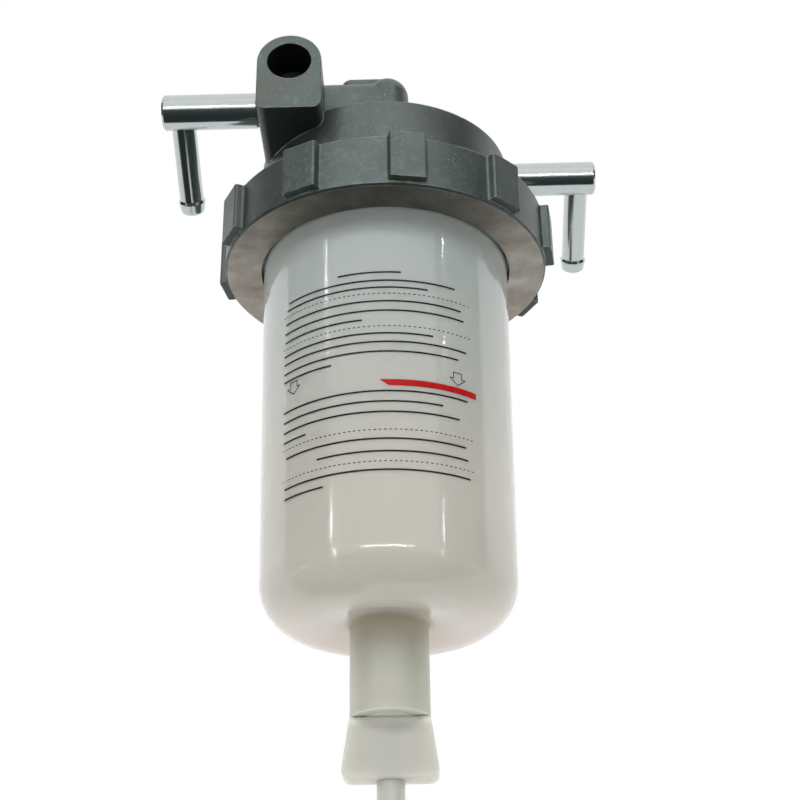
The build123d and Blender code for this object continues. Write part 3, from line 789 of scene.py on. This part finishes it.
# Tubes that make the highlights: name, the turn and height on the bowl's wall that they
# are aimed at, the turn and rise in degrees under which they stand, width, height and watts
TUBE_DISTANCE = 1.2
TUBES = (
    ("upper_left_tube", -25.7, -0.0570, -55.0, 31.5, 0.014, 0.016, 0.030),
    ("middle_left_tube", -25.6, -0.0680, -55.0, 30.2, 0.014, 0.018, 0.090),
    ("middle_left_spot", -24.9, -0.0860, -53.3, 28.0, 0.014, 0.010, 0.060),
    ("upper_right_tube", 27.7, -0.0555, 56.0, 31.6, 0.014, 0.014, 0.036),
    ("middle_right_spot", 27.1, -0.0865, 54.8, 27.9, 0.014, 0.010, 0.054),
    ("lower_left_tube", -23.0, -0.1354, -49.5, 21.1, 0.012, 0.030, 0.100),
    ("lower_right_tube", 25.1, -0.1395, 50.8, 20.6, 0.012, 0.040, 0.090),
    ("corner_left_tube", -21.3, -0.1430, -44.7, 2.0, 0.012, 0.35, 0.50),
    ("corner_right_tube", 24.3, -0.1436, 48.0, -4.0, 0.012, 0.28, 0.40),
)

# Row of tubes whose highlights join into the line on the bowl's foot: for each one the
# turn on the wall and the turn under which it stands, and then what they share
FRONT_TURNS = ((-7.6, -17.0), (-3.7, -8.5), (0.8, 0.0), (4.9, 8.5), (9.0, 17.0))
FRONT_WALL_Z = -0.1425
FRONT_RISE = 5.0
FRONT_SIZE = (0.178, 0.020)
FRONT_POWER = 0.50
HIGH_FRONT_TUBE = ("high_front_tube", -1.0, -0.0100, -5.0, 38.4, 1.4, 0.024, 0.10)


def area(name, place, target, width, height, power, colour):
    """A soft rectangular lamp that the camera doesn't see."""
    data = bpy.data.lights.new(name, "AREA")
    data.shape = "RECTANGLE"
    data.size = width
    data.size_y = height
    data.energy = power
    data.color = colour
    lamp = bpy.data.objects.new(name, data)
    scene.collection.objects.link(lamp)
    lamp.location = place
    direction = Vector(target) - Vector(place)
    lamp.rotation_mode = "QUATERNION"
    lamp.rotation_quaternion = direction.to_track_quat("-Z", "Y")
    lamp.visible_camera = False
    return lamp


def tube(name, wall_turn, wall_z, turn, rise, width, height, power):
    """A thin lamp that lights nothing and shows only as a highlight."""
    level = cos(radians(rise))
    away = Vector((sin(radians(turn)) * level, -cos(radians(turn)) * level, sin(radians(rise))))
    aim = on_bowl(wall_turn, wall_z)
    lamp = area(name, aim + away * TUBE_DISTANCE, aim, width, height, power, WHITE)
    lamp.visible_diffuse = False


for row in BROAD_LAMPS:
    lamp = area(*row)
    lamp.visible_glossy = False
for row in TUBES:
    tube(*row)
for count, (wall_turn, turn) in enumerate(FRONT_TURNS, start=1):
    tube(f"front_tube_{count}", wall_turn, FRONT_WALL_Z, turn, FRONT_RISE, *FRONT_SIZE, FRONT_POWER)
tube(*HIGH_FRONT_TUBE)

# The world's own light, from before the part to behind it
AMBIENT_STOPS = ((0.35, (0.20, 0.21, 0.21)), (0.85, WHITE))
AMBIENT_STRENGTH = 1.2


def studio_world():
    """A white studio to the camera and in reflections; its own soft light is strongest from behind."""
    world = bpy.data.worlds.new("world")
    world.use_nodes = True
    scene.world = world
    tree = world.node_tree
    white = tree.nodes["Background"]
    white.inputs["Color"].default_value = (*WHITE, 1.0)
    white.inputs["Strength"].default_value = 1.0
    ambient = tree.nodes.new("ShaderNodeBackground")
    direction = tree.nodes.new("ShaderNodeTexCoord").outputs["Generated"]
    behind = rising(tree, axis_value(tree, direction, "Y"), -1.0, 1.0)
    link(tree, ramp(tree, behind, AMBIENT_STOPS), ambient.inputs["Color"])
    ambient.inputs["Strength"].default_value = AMBIENT_STRENGTH
    path = tree.nodes.new("ShaderNodeLightPath").outputs
    seen = calculate(tree, "MAXIMUM", path["Is Camera Ray"], path["Is Glossy Ray"])
    seen = calculate(tree, "MAXIMUM", seen, path["Is Transmission Ray"])
    chosen = tree.nodes.new("ShaderNodeMixShader")
    link(tree, seen, chosen.inputs["Fac"])
    link(tree, ambient.outputs[0], chosen.inputs[1])
    link(tree, white.outputs[0], chosen.inputs[2])
    link(tree, chosen.outputs[0], tree.nodes["World Output"].inputs["Surface"])


studio_world()
scene.view_settings.view_transform = "Standard"
